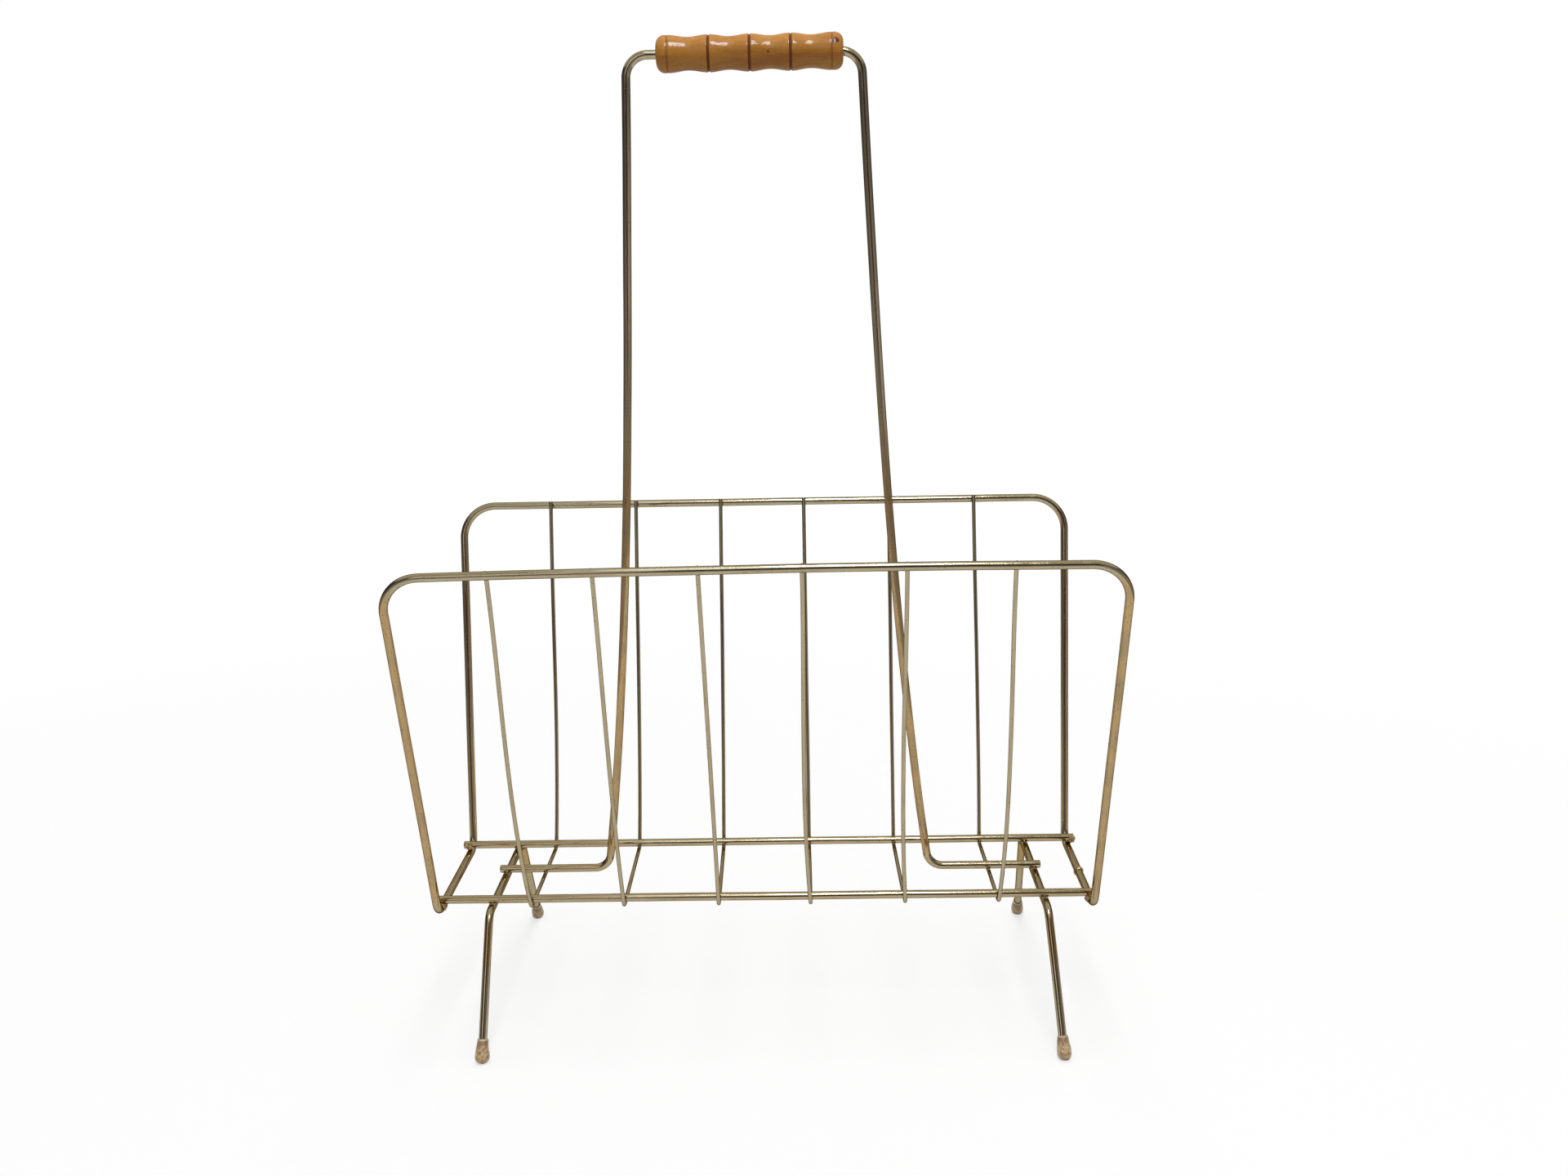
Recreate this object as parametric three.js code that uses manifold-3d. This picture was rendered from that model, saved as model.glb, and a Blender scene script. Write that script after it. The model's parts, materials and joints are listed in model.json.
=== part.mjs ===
// A wire magazine basket that stands on two leg frames and is carried by a tall handle with a turned wooden grip.
// Millimetres, +Z up, +X to the right, +Y to the rear. The origin is on the floor under the middle of the basket.
import * as THREE from "three";
import { mergeVertices } from "three/addons/utils/BufferGeometryUtils.js";
import Module from "manifold-3d";

// Wire stock and the clearance that touching pieces keep
const mainWire = 4.76;
const ribWire = 2.4;
const gap = 0.3;

// Basket loop: two hoops joined by the cross bars
const basketLength = 384;
const bottomDepth = 92.2;
const topDepth = 191.6;
const barHeight = 73;
const hoopHeight = 289.3;
const hoopFlare = 2.6;
const hoopBend = 20.5;
const loopBend = 9.5;
const collarLength = 3.4;
const collarProud = 0.45;

// Rails that lie on the cross bars, where the bends of the loop begin
const railOverrun = 4;

// Ribs: they share out the basket's length, wrap under both rails and end inside the hoops
const ribCount = 6;
const ribTip = 2.2;

// How far each rib stands aside of its even place, in shares of the bay between two ribs, as bent by hand.
// In order: top, bow and foot of the rear wall, then foot, bow and top of the front wall.
const ribSwayShares = [
  [0.005, 0.022, 0, -0.015, -0.05, -0.035],
  [0.01, 0.01, -0.015, -0.015, -0.015, -0.035],
  [0.005, 0.005, -0.02, 0, 0.005, -0.035],
  [-0.02, 0, -0.015, -0.01, -0.035, -0.05],
  [-0.025, 0, -0.025, 0.005, -0.03, -0.06],
  [-0.03, 0.01, -0.02, 0.005, 0.04, -0.035],
];
const ribPointShares = [0.1, 0.2, 0.33, 0.46, 0.6, 0.8];

// Leg frames under the rails, welded a little to the right of the middle, the left one also a little to the rear
const legInset = 28.7;
const legShift = 1.6;
const leftSetBack = 2.5;
const legOverhang = 10.7;
const legBend = 9.5;
const footDepth = 179;
const leftSplay = 0.8;
const rightSplay = 4.6;

// Foot caps pushed over the leg ends
const capRest = 3.2;
const capBulge = 4.4;
const capWall = 0.75;
const capHeight = 9.6;
const capEdge = 0.35;

// Handle: feet on the leg frames, legs that draw in as they rise, and a bar for the grip
const handleBase = 197;
const handleTop = 126;
const handleHeight = 550.6;
const handleBow = 15;
const handleFootBend = 10;
const handleTopBend = 12;
const handleOverrun = 3.4;
const handleBaseShift = 1.2;
const handleTopShift = -2.5;
const handlePointShares = [0.06, 0.14, 0.24, 0.36, 0.5, 0.66, 0.84];

// Grip: a turned wooden sleeve shaped like bamboo, loose on the bar
const gripRoom = 1;
const gripShift = 3.4;
const gripSwell = 10.1;
const gripWaist = 8.6;
const gripPlay = 0.5;
const gripEndRound = 4.5;
const gripEndRing = 6.2;
const gripBays = 4;
const grooveWidth = 1.2;
const grooveDepth = 0.5;
const ringDepth = 0.2;

// Weld beads: how far a bead reaches towards the edge of the wires that it joins, and how far it bulges
const beadReachShare = 0.9;
const beadBulge = 0.4;

// Fineness of the meshes
const mainSides = 12;
const ribSides = 8;
const bendStep = Math.PI / 14;
const gripSides = 20;
const capSides = 16;
const beadSteps = 12;
const arcSteps = 4;
const baySteps = 6;

// Sizes that follow from the ones above
const mainRadius = mainWire / 2;
const ribRadius = ribWire / 2;
const barX = basketLength / 2;
const hoopX = barX + hoopFlare;
const bottomY = bottomDepth / 2;
const topY = topDepth / 2;
const restHeight = barHeight + mainWire + gap;
const wallAngle = Math.atan2(hoopHeight - barHeight, topY - bottomY);
const railY = bottomY - loopBend * Math.tan(wallAngle / 2);
const ribBay = basketLength / (ribCount + 1);
const ribOffset = mainRadius + ribRadius + gap;
const ribFloor = restHeight - ribOffset;
const legY = railY + legOverhang;
const footY = footDepth / 2;
const legX = { left: -barX + legInset + legShift, right: barX - legInset + legShift };
const footX = { left: legX.left - leftSplay, right: legX.right + rightSplay };
const setBack = { left: leftSetBack, right: 0 };
const gripLength = handleTop - 2 * handleTopBend - 2 * gripRoom;
const gripBore = mainRadius + gripPlay;
const gripX = handleTopShift + gripShift;

// A rib's wall passes outside the rail and inside the hoop at the same distance from both.
const railToHoop = new THREE.Vector2(topY - railY, hoopHeight - restHeight);
const ribAngle = railToHoop.angle() + Math.asin((2 * ribOffset) / railToHoop.length());
const ribCornerY = railY + ribOffset * Math.tan(ribAngle / 2);
const ribTopY = topY - ribOffset * Math.sin(ribAngle);
const ribTopZ = hoopHeight + ribOffset * Math.cos(ribAngle);

const brass = new THREE.MeshStandardMaterial({ color: 0xb8a06a, metalness: 0.9, roughness: 0.35 });
const weldMetal = new THREE.MeshStandardMaterial({ color: 0x54452f, metalness: 0.7, roughness: 0.7 });
const lacqueredWood = new THREE.MeshStandardMaterial({ color: 0xb9783a, metalness: 0, roughness: 0.25 });
const creamPlastic = new THREE.MeshStandardMaterial({ color: 0xc9b78e, metalness: 0, roughness: 0.6 });

const wasm = await Module();
wasm.setup();

const point = (x, y, z) => new THREE.Vector3(x, y, z);

// The points of a wire's centreline: its corners, with an arc at each corner that has a bend radius
function centreline(corners) {
  return corners.flatMap(({ at, bend = 0 }, i) => {
    if (bend === 0) return [at];
    const into = at.clone().sub(corners[i - 1].at).normalize();
    const out = corners[i + 1].at.clone().sub(at).normalize();
    const turn = into.angleTo(out);
    const inward = out.clone().addScaledVector(into, -out.dot(into)).normalize();
    const centre = at.clone().addScaledVector(into, -bend * Math.tan(turn / 2)).addScaledVector(inward, bend);
    const steps = Math.ceil(turn / bendStep);
    return Array.from({ length: steps + 1 }, (_, k) => {
      const angle = (turn * k) / steps;
      const onArc = centre.clone().addScaledVector(inward, -bend * Math.cos(angle));
      return onArc.addScaledVector(into, bend * Math.sin(angle));
    });
  });
}

// A wire's path, which counts its length in points, so that the bends get the sections and the straights none
class WirePath extends THREE.Curve {
  constructor(corners) {
    super();
    this.points = centreline(corners);
  }

  getPointAt(share) {
    return this.points[Math.round(share * (this.points.length - 1))].clone();
  }

  getTangentAt(share) {
    const { points } = this;
    const i = Math.round(share * (points.length - 1));
    const arriving = points[i].clone().sub(points[i - 1] ?? points[i]).normalize();
    const leaving = (points[i + 1] ?? points[i]).clone().sub(points[i]).normalize();
    return arriving.add(leaving).normalize();
  }
}

// A round wire swept along the path through its corners, cut square at both ends
function wire(corners, radius, sides) {
  const path = new WirePath(corners);
  const round = new THREE.Shape().absarc(0, 0, radius, 0, 2 * Math.PI);
  return new THREE.ExtrudeGeometry(round, {
    extrudePath: path,
    steps: path.points.length - 1,
    curveSegments: sides / 2,
  });
}

function surface(positions, index) {
  const geometry = new THREE.BufferGeometry();
  geometry.setAttribute("position", new THREE.Float32BufferAttribute(positions, 3));
  geometry.setIndex(index);
  geometry.computeVertexNormals();
  return geometry;
}

// One wire, bent into both hoops and both cross bars. Its ends meet in the middle of the right bar.
function basketLoop() {
  const corners = [
    { at: point(barX, gap / 2, barHeight) },
    { at: point(barX, bottomY, barHeight), bend: loopBend },
    { at: point(hoopX, topY, hoopHeight), bend: hoopBend },
    { at: point(-hoopX, topY, hoopHeight), bend: hoopBend },
    { at: point(-barX, bottomY, barHeight), bend: loopBend },
    { at: point(-barX, -bottomY, barHeight), bend: loopBend },
    { at: point(-hoopX, -topY, hoopHeight), bend: hoopBend },
    { at: point(hoopX, -topY, hoopHeight), bend: hoopBend },
    { at: point(barX, -bottomY, barHeight), bend: loopBend },
    { at: point(barX, -gap / 2, barHeight) },
  ];
  return wire(corners, mainRadius, mainSides);
}

// The collar of weld metal round the loop's two ends
function collar() {
  const half = collarLength / 2;
  const bore = mainRadius + gap;
  const outline = [
    [bore, -half],
    [bore + collarProud, -half / 2],
    [bore + collarProud, half / 2],
    [bore, half],
    [bore, -half],
  ];
  return new THREE.LatheGeometry(outline.map(([r, y]) => new THREE.Vector2(r, y)), mainSides);
}

function rail(side) {
  const reach = barX + railOverrun;
  const ends = [-reach, reach].map((x) => ({ at: point(x, side * railY, restHeight) }));
  return wire(ends, mainRadius, mainSides);
}

// The place of each rib along the basket: its even place and the six sways
const ribPlaces = ribSwayShares.slice(0, ribCount).map((shares, i) => {
  const even = (i + 1) * ribBay - barX;
  const [rearTop, rearBow, rearFoot, frontFoot, frontBow, frontTop] = shares.map((share) => share * ribBay);
  return {
    rearTop: even + rearTop,
    rearBow,
    rearFoot: even + rearFoot,
    frontFoot: even + frontFoot,
    frontBow,
    frontTop: even + frontTop,
  };
});

// A bump over the height of a wall, that is 0 at both ends and 1 at a third of the way up
const lowBump = (share) => (27 / 4) * share * (1 - share) ** 2;

// Half of a rib, from its corner under the rail up to its end inside the hoop
function ribWall(side, foot, bow, top) {
  const rising = ribPointShares.map((share) => {
    const x = THREE.MathUtils.lerp(foot, top, share) + bow * lowBump(share);
    const y = THREE.MathUtils.lerp(ribCornerY, ribTopY, share);
    return { at: point(x, side * y, THREE.MathUtils.lerp(ribFloor, ribTopZ, share)) };
  });
  const tipY = ribTopY + ribTip * Math.cos(ribAngle);
  const tipZ = ribTopZ + ribTip * Math.sin(ribAngle);
  return [
    { at: point(foot, side * ribCornerY, ribFloor), bend: ribOffset },
    ...rising,
    { at: point(top, side * ribTopY, ribTopZ) },
    { at: point(top, side * tipY, tipZ) },
  ];
}

function rib(place) {
  const rear = ribWall(1, place.rearFoot, place.rearBow, place.rearTop);
  const front = ribWall(-1, place.frontFoot, place.frontBow, place.frontTop);
  return wire([...rear.reverse(), ...front], ribRadius, ribSides);
}

// Where a leg's axis goes: from the corner of its frame down to the floor
function leg(hand, side) {
  const corner = point(legX[hand], side * legY + setBack[hand], barHeight);
  const floor = point(footX[hand], side * footY + setBack[hand], 0);
  const up = corner.clone().sub(floor).normalize();
  const capCentre = floor.addScaledVector(up, capRest / up.z);
  return { corner, up, capCentre, end: capCentre.clone().addScaledVector(up, gap) };
}

function legFrame(hand) {
  const front = leg(hand, -1);
  const rear = leg(hand, 1);
  const corners = [
    { at: front.end },
    { at: front.corner, bend: legBend },
    { at: rear.corner, bend: legBend },
    { at: rear.end },
  ];
  return wire(corners, mainRadius, mainSides);
}

// The cap's half section, round below its centre and drawn in to the rim, with a bore for the leg's end
function capProfile() {
  const bore = mainRadius + gap;
  const rim = bore + capWall;
  const profile = [];
  for (let k = 0; k <= arcSteps; k++) {
    const angle = (Math.PI / 2) * (k / arcSteps);
    profile.push(new THREE.Vector2(capBulge * Math.sin(angle), -capBulge * Math.cos(angle)));
  }
  profile.push(new THREE.Vector2((capBulge + rim) / 2 + capEdge, capHeight / 2));
  profile.push(new THREE.Vector2(rim, capHeight - capEdge));
  profile.push(new THREE.Vector2(rim - capEdge, capHeight));
  profile.push(new THREE.Vector2(bore, capHeight));
  profile.push(new THREE.Vector2(bore, 0));
  profile.push(new THREE.Vector2(0, 0));
  return profile;
}

function solidOf(geometry) {
  const bare = geometry.clone();
  bare.deleteAttribute("normal");
  bare.deleteAttribute("uv");
  const merged = mergeVertices(bare);
  const vertProperties = new Float32Array(merged.attributes.position.array);
  return new wasm.Manifold(
    new wasm.Mesh({ numProp: 3, vertProperties, triVerts: new Uint32Array(merged.index.array) }),
  );
}

// A cap on the end of a leg, worn flat where it stands on the floor
function footCap(hand, side) {
  const { up, capCentre } = leg(hand, side);
  const body = new THREE.LatheGeometry(capProfile(), capSides);
  const lean = new THREE.Quaternion().setFromUnitVectors(point(0, 1, 0), up);
  body.applyQuaternion(lean).translate(...capCentre.toArray());
  const block = 4 * capBulge;
  const ground = new THREE.BoxGeometry(block, block, block);
  ground.translate(capCentre.x, capCentre.y, -block / 2);
  const worn = solidOf(body).subtract(solidOf(ground)).getMesh();
  return surface([...worn.vertProperties], [...worn.triVerts]);
}

// A point of the handle's leg, at a share of the way from the bar down to the foot
function handleLeg(side, hand, share) {
  const flare = (handleBase - handleTop) / 2 - handleBow;
  const half = handleTop / 2 + flare * share + handleBow * share ** 3;
  const middle = THREE.MathUtils.lerp(handleTopShift, handleBaseShift, share);
  return point(middle + side * half, setBack[hand] * share, THREE.MathUtils.lerp(handleHeight, restHeight, share));
}

function handleWire() {
  const half = (side, hand) => [
    { at: handleLeg(side, hand, 0), bend: handleTopBend },
    ...handlePointShares.map((share) => ({ at: handleLeg(side, hand, share) })),
    { at: handleLeg(side, hand, 1), bend: handleFootBend },
    { at: point(legX[hand] + side * handleOverrun, setBack[hand], restHeight) },
  ];
  return wire([...half(-1, "left").reverse(), ...half(1, "right")], mainRadius, mainSides);
}

// The grip's half section, from the left end round the outside to the right end and back through the bore
function gripProfile() {
  const half = gripLength / 2;
  const bay = (gripLength - 2 * gripEndRing) / gripBays;
  const shoulder = gripSwell - gripEndRound;
  const left = [];
  for (let k = 0; k <= arcSteps; k++) {
    const angle = (Math.PI / 2) * (k / arcSteps);
    left.push([shoulder + gripEndRound * Math.sin(angle), -half + gripEndRound * (1 - Math.cos(angle))]);
  }
  const right = left.map(([r, x]) => [r, -x]).reverse();
  const body = [];
  for (let i = 0; i <= gripBays; i++) {
    const ring = gripEndRing - half + i * bay;
    const depth = i === 0 || i === gripBays ? ringDepth : grooveDepth;
    body.push([gripSwell, ring - grooveWidth / 2]);
    body.push([gripSwell - depth, ring]);
    body.push([gripSwell, ring + grooveWidth / 2]);
    for (let k = 1; i < gripBays && k < baySteps; k++) {
      const share = k / baySteps;
      const drawn = (1 - Math.cos(2 * Math.PI * share)) / 2;
      body.push([THREE.MathUtils.lerp(gripSwell, gripWaist, drawn), ring + share * bay]);
    }
  }
  const outline = [[gripBore, -half], ...left, ...body, ...right, [gripBore, half], [gripBore, -half]];
  return outline.map(([r, x]) => new THREE.Vector2(r, x));
}

function grip() {
  return new THREE.LatheGeometry(gripProfile(), gripSides).rotateZ(-Math.PI / 2);
}

// Height of a wire's underside above the middle of a joint, with the clearance, at an offset from its axis
function clearHeight(radius, offset) {
  return gap / 2 + radius - Math.sqrt((radius + gap) ** 2 - offset ** 2);
}

// A bead of weld metal between two crossed wires, as a ring round the spot where they meet.
// X runs along the upper wire, Y along the lower one. An open bead leaves out the side where the lower wire bends.
function weldBead(lowerRadius, open) {
  const from = open ? -Math.PI / 9 : 0;
  const sweepAngle = open ? Math.PI - 2 * from : 2 * Math.PI;
  const reachX = beadReachShare * (lowerRadius + gap);
  const reachY = beadReachShare * (mainRadius + gap);
  const rings = open ? beadSteps + 1 : beadSteps;
  const positions = [];
  for (let i = 0; i < rings; i++) {
    const angle = from + (sweepAngle * i) / beadSteps;
    const c = Math.cos(angle);
    const s = Math.sin(angle);
    const inner = Math.sqrt((2 * gap) / (s ** 2 / (mainRadius + gap) + c ** 2 / (lowerRadius + gap)));
    const outer = 1 / Math.hypot(c / reachX, s / reachY);
    const top = (reach) => clearHeight(mainRadius, reach * s);
    const bottom = (reach) => -clearHeight(lowerRadius, reach * c);
    const middle = (reach) => (top(reach) + bottom(reach)) / 2;
    positions.push(inner * c, inner * s, middle(inner));
    positions.push(outer * c, outer * s, top(outer));
    positions.push((outer + beadBulge) * c, (outer + beadBulge) * s, middle(outer));
    positions.push(outer * c, outer * s, bottom(outer));
  }
  const index = [];
  const corners = 4;
  for (let i = 0; i < beadSteps; i++) {
    const here = i * corners;
    const next = ((i + 1) % rings) * corners;
    for (let j = 0; j < corners; j++) {
      const k = (j + 1) % corners;
      index.push(here + j, here + k, next + k, here + j, next + k, next + j);
    }
  }
  if (open) {
    const last = beadSteps * corners;
    index.push(0, 2, 1, 0, 3, 2);
    index.push(last, last + 1, last + 2, last, last + 2, last + 3);
  }
  return surface(positions, index);
}

const beads = {
  main: weldBead(mainRadius, false),
  rib: weldBead(ribRadius, false),
  mainCorner: weldBead(mainRadius, true),
  ribCorner: weldBead(ribRadius, true),
};

const basket = new THREE.Group();

function add(name, geometry, material) {
  const mesh = new THREE.Mesh(geometry, material);
  mesh.name = name;
  basket.add(mesh);
  return mesh;
}

// Places a bead: its X axis follows the upper wire, and its Z axis points from the lower wire to the upper one.
function addWeld(name, kind, at, up, side = -1) {
  const mesh = add("weld_" + name, beads[kind], weldMetal);
  const along = point(-side, 0, 0);
  const across = up.clone().cross(along);
  mesh.quaternion.setFromRotationMatrix(new THREE.Matrix4().makeBasis(along, across, up));
  mesh.position.copy(at);
}

const walls = { front: -1, rear: 1 };
const hands = { left: -1, right: 1 };
const upright = point(0, 0, 1);
const seamHeight = barHeight + mainRadius + gap / 2;
const ribSeamHeight = restHeight - mainRadius - gap / 2;

add("basket_loop", basketLoop(), brass);
add("weld_basket_loop", collar(), weldMetal).position.set(barX, 0, barHeight);
for (const [wall, side] of Object.entries(walls)) {
  add(wall + "_rail", rail(side), brass);
}
ribPlaces.forEach((place, i) => add("rib_" + (i + 1), rib(place), brass));
for (const [hand, toHand] of Object.entries(hands)) {
  add(hand + "_leg_frame", legFrame(hand), brass);
  for (const [wall, side] of Object.entries(walls)) {
    add(wall + "_" + hand + "_foot_cap", footCap(hand, side), creamPlastic);
    const bar = point(toHand * barX, side * railY, seamHeight);
    const run = point(legX[hand], side * railY, seamHeight);
    addWeld(wall + "_rail_" + hand + "_bar", "mainCorner", bar, upright, side);
    addWeld(wall + "_rail_" + hand + "_leg", "main", run, upright);
  }
  addWeld("handle_" + hand + "_leg", "main", point(legX[hand], setBack[hand], seamHeight), upright);
}
for (const [wall, side] of Object.entries(walls)) {
  const fromRib = point(0, side * Math.sin(ribAngle), -Math.cos(ribAngle));
  const seam = point(0, side * topY, hoopHeight).addScaledVector(fromRib, -mainRadius - gap / 2);
  ribPlaces.forEach((place, i) => {
    const name = "rib_" + (i + 1) + "_" + wall;
    const foot = point(place[wall + "Foot"], side * railY, ribSeamHeight);
    addWeld(name + "_hoop", "rib", seam.clone().setX(place[wall + "Top"]), fromRib);
    addWeld(name + "_rail", "ribCorner", foot, upright, side);
  });
}
for (const [hand, i] of [["left", 0], ["right", ribCount - 1]]) {
  const { frontFoot, rearFoot } = ribPlaces[i];
  const y = setBack[hand];
  const x = THREE.MathUtils.mapLinear(y, -ribCornerY, ribCornerY, frontFoot, rearFoot);
  addWeld("handle_rib_" + (i + 1), "rib", point(x, y, ribSeamHeight), upright);
}
add("handle_wire", handleWire(), brass);
add("handle_grip", grip(), lacqueredWood).position.set(gripX, 0, handleHeight);

export default basket;
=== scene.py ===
"""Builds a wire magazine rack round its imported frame: wires, weld beads, a turned grip and foot caps."""

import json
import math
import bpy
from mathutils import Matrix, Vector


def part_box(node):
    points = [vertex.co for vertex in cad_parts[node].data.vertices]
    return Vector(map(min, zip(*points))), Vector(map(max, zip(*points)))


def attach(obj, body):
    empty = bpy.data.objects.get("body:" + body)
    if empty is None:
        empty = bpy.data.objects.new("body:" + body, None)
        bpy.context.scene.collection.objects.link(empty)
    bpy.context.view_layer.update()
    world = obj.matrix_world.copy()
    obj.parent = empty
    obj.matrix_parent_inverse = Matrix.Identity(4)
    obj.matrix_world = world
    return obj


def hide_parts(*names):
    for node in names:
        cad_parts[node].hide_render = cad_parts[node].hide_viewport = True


bl_info = {
    "name": "Wire Magazine Rack",
    "version": (1, 0, 0),
    "blender": (4, 5, 0),
    "location": "3D View > Sidebar > Magazine Rack",
    "description": "Builds the plated wires, weld beads, turned grip and foot caps of a wire magazine rack",
    "category": "Add Mesh",
}

from collections import namedtuple
from functools import cache

import bmesh
import bpy
import numpy as np
from bpy.props import FloatProperty, FloatVectorProperty, IntProperty, PointerProperty
from mathutils import Matrix, Vector, noise

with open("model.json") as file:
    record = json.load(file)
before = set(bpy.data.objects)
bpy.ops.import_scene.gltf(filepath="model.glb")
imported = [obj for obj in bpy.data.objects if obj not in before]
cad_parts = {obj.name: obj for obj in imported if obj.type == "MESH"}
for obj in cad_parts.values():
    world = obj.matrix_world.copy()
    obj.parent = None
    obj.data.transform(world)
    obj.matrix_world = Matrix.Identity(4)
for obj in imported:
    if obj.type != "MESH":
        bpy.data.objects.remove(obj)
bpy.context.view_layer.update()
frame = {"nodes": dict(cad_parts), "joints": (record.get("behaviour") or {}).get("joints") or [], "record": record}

X, Y, Z = range(3)
MM = 0.001
UP = Vector((0, 0, 1))
RIGHT = Vector((1, 0, 0))
REAR = Vector((0, 1, 0))
WALLS = {"front": -1, "rear": 1}
HANDS = {"left": -1, "right": 1}


def low(node, axis):
    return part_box(node)[0][axis]


def high(node, axis):
    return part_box(node)[1][axis]


def middle(node, axis):
    return (low(node, axis) + high(node, axis)) / 2


# Sizes and places that the frame gives
RIB_COUNT = sum(node.startswith("rib_") for node in frame["nodes"])
RIBS = [f"rib_{i + 1}" for i in range(RIB_COUNT)]
WIRE_RADIUS = (high("front_rail", Z) - low("front_rail", Z)) / 2
RAIL_Y = middle("rear_rail", Y)
RAIL_REACH = high("front_rail", X)
REST_HEIGHT = middle("front_rail", Z)
BAR_HEIGHT = middle("weld_basket_loop", Z)
BAR_X = middle("weld_basket_loop", X)
HOOP_X = high("basket_loop", X) - WIRE_RADIUS
HOOP_Y = high("basket_loop", Y) - WIRE_RADIUS
HOOP_HEIGHT = high("basket_loop", Z) - WIRE_RADIUS
LEG_X = {hand: middle(f"weld_handle_{hand}_leg", X) for hand in HANDS}
SET_BACK = {hand: middle(f"weld_handle_{hand}_leg", Y) for hand in HANDS}
HANDLE_HEIGHT = frame["joints"][0]["pos_m"][Z]
HANDLE_ENDS = {"left": low("handle_wire", X), "right": high("handle_wire", X)}
GRIP_MIDDLE = middle("handle_grip", X)
GRIP_LENGTH = high("handle_grip", X) - low("handle_grip", X)
FEET = {mount["name"]: Vector(mount["pos_m"]) for mount in frame["record"]["mounts"]}

# How far each rib bows aside low on its walls, in shares of the bay between two ribs
BOW_SHARES = {
    "front": (-0.05, -0.015, 0.005, -0.035, -0.03, 0.04),
    "rear": (0.022, 0.01, 0.005, 0, 0, 0.01),
}


def length(name, description, millimetres):
    return FloatProperty(name=name, description=description, default=millimetres * MM, unit="LENGTH")


def facets(name, description, count, least):
    return IntProperty(name=name, description=description, default=count, min=least)


def paint(name, description, default):
    return FloatVectorProperty(name=name, description=description, default=default, subtype="COLOR")


class RackSizes(bpy.types.PropertyGroup):
    """Sizes that the frame does not give by itself, with their lengths written in millimetres"""

    contact_gap: length("Contact gap", "Clearance between two wires that touch", 0.3)
    rib_radius: length("Rib radius", "Half the diameter of the thin wire of the ribs", 1.2)
    loop_bend: length("Loop bend", "Radius of the bends between the hoops and the cross bars", 9.5)
    hoop_bend: length("Hoop bend", "Radius of the corners of the hoops", 20.5)
    hoop_bow: length("Hoop bow", "How far the front hoop's top wire is bowed up in the middle", 0.9)
    hoop_droop: length("Hoop droop", "How far the left end of the front hoop hangs low", 2.1)
    leg_bend: length("Leg bend", "Radius of the bends of the leg frames", 9.5)
    leg_overhang: length("Leg overhang", "How far the leg frames' corners lie outside the rails", 10.7)
    front_rib_tip: length("Front rib tip", "How far a rib's end passes its weld on the front hoop", 0.3)
    rear_rib_tip: length("Rear rib tip", "How far a rib's end passes its weld on the rear hoop", 2.2)
    handle_bend: length("Handle bend", "Radius of the two bends at the top of the handle", 12)
    handle_foot_bend: length("Handle foot bend", "Radius of the two bends above the handle's feet", 10)
    handle_base: length("Handle base", "Width of the handle between its foot corners", 197)
    handle_top: length("Handle top", "Width of the handle between its top corners", 126)
    handle_bow: length("Handle bow", "How much of the handle's flare is gathered near its feet", 15)
    handle_base_shift: length("Base shift", "How far the handle's feet stand right of the middle", 1.2)
    handle_top_shift: length("Top shift", "How far the handle's top stands right of the middle", -2.5)
    wander: length("Wander", "How far a hand-bent wire strays from its true line", 0.16)
    cut_edge: length("Cut edge", "Rounding of the edge at a wire's cut end", 0.35)
    bead_reach: length("Bead reach", "How far a bead at a rail's end spreads past its wires' radius", 0.45)
    bead_share: FloatProperty(
        name="Bead share",
        description="Size of the other beads, as a share of the radius of their wires",
        default=0.72,
        subtype="FACTOR",
    )
    collar_lump: length("Collar lump", "How lumpy the flash of the butt weld is", 0.22)
    heat_reach: length("Heat reach", "How far the heat of a weld has burnt the plating", 3.6)
    grip_swell: length("Grip swell", "Radius of the grip beside its grooves", 9.6)
    grip_waist: length("Grip waist", "Radius of the grip halfway between two grooves", 8.45)
    grip_bore: length("Grip bore", "Radius of the hole through the grip", 2.88)
    grip_end_round: length("Grip end rounding", "Rounding of the grip's ends", 4.5)
    grip_end_ring: length("Grip end ring", "How far the outermost rings lie from the grip's ends", 6.2)
    groove_depth: length("Groove depth", "Depth of the turned grooves of the grip", 0.55)
    groove_width: length("Groove width", "Width of the turned grooves of the grip", 1.9)
    cap_rest: length("Cap rest", "Height of the middle of a foot cap's bulge above the floor", 3.2)
    cap_bulge: length("Cap bulge", "Radius of a foot cap's bulge", 4.15)
    cap_rim: length("Cap rim", "Radius of a foot cap's rim", 3.08)
    cap_height: length("Cap height", "Length of a foot cap above the middle of its bulge", 9.6)
    main_sides: facets("Wire sides", "Faces round a thick wire", 40, 8)
    rib_sides: facets("Rib sides", "Faces round a rib", 20, 8)
    grip_sides: facets("Grip sides", "Faces round the grip", 96, 16)
    cap_sides: facets("Cap sides", "Faces round a foot cap", 48, 12)


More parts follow.
